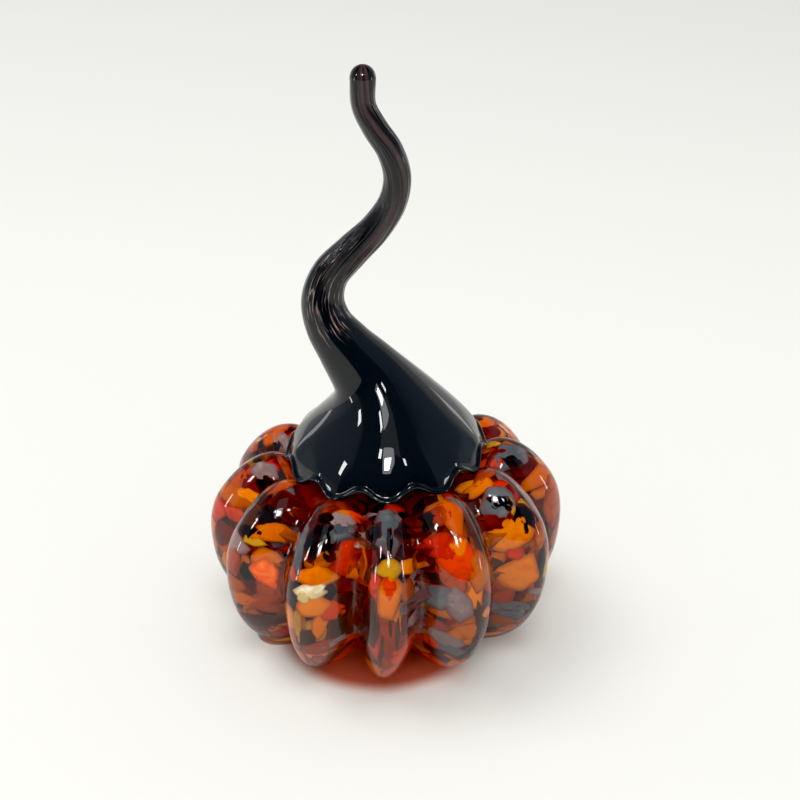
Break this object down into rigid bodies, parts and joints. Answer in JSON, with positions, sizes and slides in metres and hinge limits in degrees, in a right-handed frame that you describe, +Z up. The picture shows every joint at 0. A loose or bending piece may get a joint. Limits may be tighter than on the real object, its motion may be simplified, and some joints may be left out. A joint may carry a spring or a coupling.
{
  "type": "glass pumpkin",
  "caption": "Small ribbed art-glass pumpkin with speckled orange frit under clear glass, a pointed black glass cap and a curled black glass stem. It stands on a flat base.",
  "frame": {"origin": "centre of the flat base, on the surface that the pumpkin stands on", "axes": "+Z up through the middle of the body, -Y towards the rib crest that faces the camera in the picture, and the first bend of the stem leans to -X"},
  "size_m": [0.07, 0.07, 0.1129],
  "materials": {
    "frit_glass": "glossy",
    "black_glass": "glossy"
  },
  "bodies": {
    "root": {"pumpkin_body": "frit_glass", "stem": "black_glass"}
  },
  "joints": []
}
